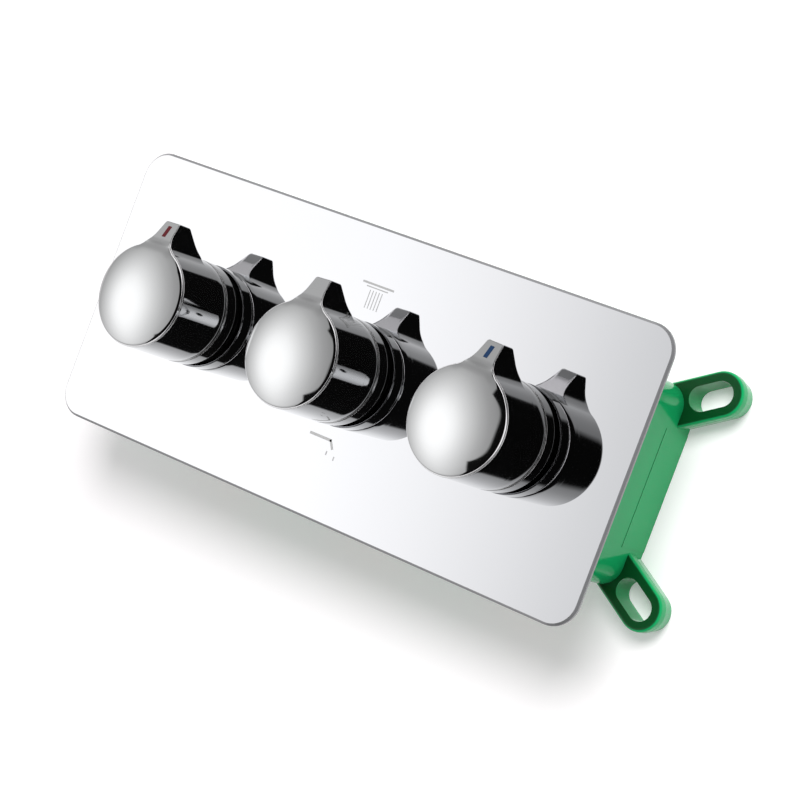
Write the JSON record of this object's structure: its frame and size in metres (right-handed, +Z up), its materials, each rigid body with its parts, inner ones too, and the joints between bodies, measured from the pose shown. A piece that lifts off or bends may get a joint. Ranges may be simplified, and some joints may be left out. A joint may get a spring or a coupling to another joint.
{
  "type": "concealed shower valve",
  "caption": "Concealed shower valve: chrome plate with lever knobs for hot, cold and outlet choice, cartridges, brass body and a green wall box with slotted lugs.",
  "frame": {"origin": "middle of the rear mounting plane, level with the knob axes", "axes": "+X to the right along the plate as seen from the front, +Y into the wall, +Z up"},
  "size_m": [0.3048, 0.109, 0.126],
  "materials": {
    "plate_chrome": "polished chrome plate",
    "knob_chrome": "polished chrome plate",
    "collar_chrome": "polished chrome plate",
    "box_green": "satin moulded plastic",
    "foam": "closed-cell foam",
    "black_rubber": "moulded rubber",
    "brass_body": "cast and machined brass",
    "brass_machined": "turned brass",
    "steel": "bright steel",
    "mark_red": "enamel inlay",
    "mark_blue": "enamel inlay",
    "ceramic": "lapped alumina ceramic, opaque"
  },
  "bodies": {
    "valve": {"face_plate": "plate_chrome", "plate_gasket": "foam", "wall_box": "box_green", "manifold": "brass_body", "manifold_screws": "steel", "pipe_grommets": "black_rubber", "hot_collar": "collar_chrome", "hot_collar_seal": "black_rubber", "hot_valve_body": "brass_machined", "hot_body_seal": "black_rubber", "hot_fixed_disc": "ceramic", "hot_seat_seal": "black_rubber", "diverter_collar": "collar_chrome", "diverter_collar_seal": "black_rubber", "diverter_valve_body": "brass_machined", "diverter_body_seal": "black_rubber", "diverter_fixed_disc": "ceramic", "diverter_seat_seal": "black_rubber", "cold_collar": "collar_chrome", "cold_collar_seal": "black_rubber", "cold_valve_body": "brass_machined", "cold_body_seal": "black_rubber", "cold_fixed_disc": "ceramic", "cold_seat_seal": "black_rubber"},
    "hot_handle": {"hot_knob": "knob_chrome", "hot_mark": "mark_red", "hot_grub_screw": "steel", "hot_spindle": "brass_machined", "hot_spindle_seals": "black_rubber", "hot_circlip": "steel", "hot_moving_disc": "ceramic"},
    "diverter_handle": {"diverter_knob": "knob_chrome", "diverter_grub_screw": "steel", "diverter_spindle": "brass_machined", "diverter_spindle_seals": "black_rubber", "diverter_circlip": "steel", "diverter_moving_disc": "ceramic"},
    "cold_handle": {"cold_knob": "knob_chrome", "cold_mark": "mark_blue", "cold_grub_screw": "steel", "cold_spindle": "brass_machined", "cold_spindle_seals": "black_rubber", "cold_circlip": "steel", "cold_moving_disc": "ceramic"}
  },
  "joints": [
    {"name": "hot_turn", "type": "hinge", "parent": "valve", "child": "hot_handle", "pos_m": [-0.085, -0.08, 0], "axis": [0, -1, 0], "range_deg": [0, 90]},
    {"name": "diverter_turn", "type": "hinge", "parent": "valve", "child": "diverter_handle", "pos_m": [0, -0.08, 0], "axis": [0, 1, 0], "range_deg": [0, 180]},
    {"name": "cold_turn", "type": "hinge", "parent": "valve", "child": "cold_handle", "pos_m": [0.085, -0.08, 0], "axis": [0, 1, 0], "range_deg": [0, 90]}
  ]
}
